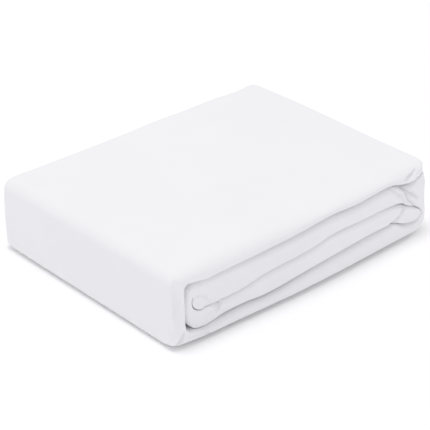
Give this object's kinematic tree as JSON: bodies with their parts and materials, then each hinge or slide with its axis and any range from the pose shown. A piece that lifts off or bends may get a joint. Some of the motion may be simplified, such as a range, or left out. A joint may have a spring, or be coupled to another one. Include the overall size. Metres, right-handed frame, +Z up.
{
  "type": "folded mattress protector",
  "caption": "White cloth mattress cover, folded lengthwise into a soft strip and wound flat into a rectangular pack whose turns show at its open end.",
  "frame": {"origin": "centre of the bottom of the pack, on the surface that it lies on", "axes": "+Z up, X along the long side of the pack, +Y from the open end that shows to the far end"},
  "size_m": [0.3536, 0.2726, 0.0837],
  "materials": {
    "cloth": "matt brushed cotton jersey, white with a cool tint"
  },
  "bodies": {
    "root": {"folded_cloth": "cloth"}
  },
  "joints": []
}
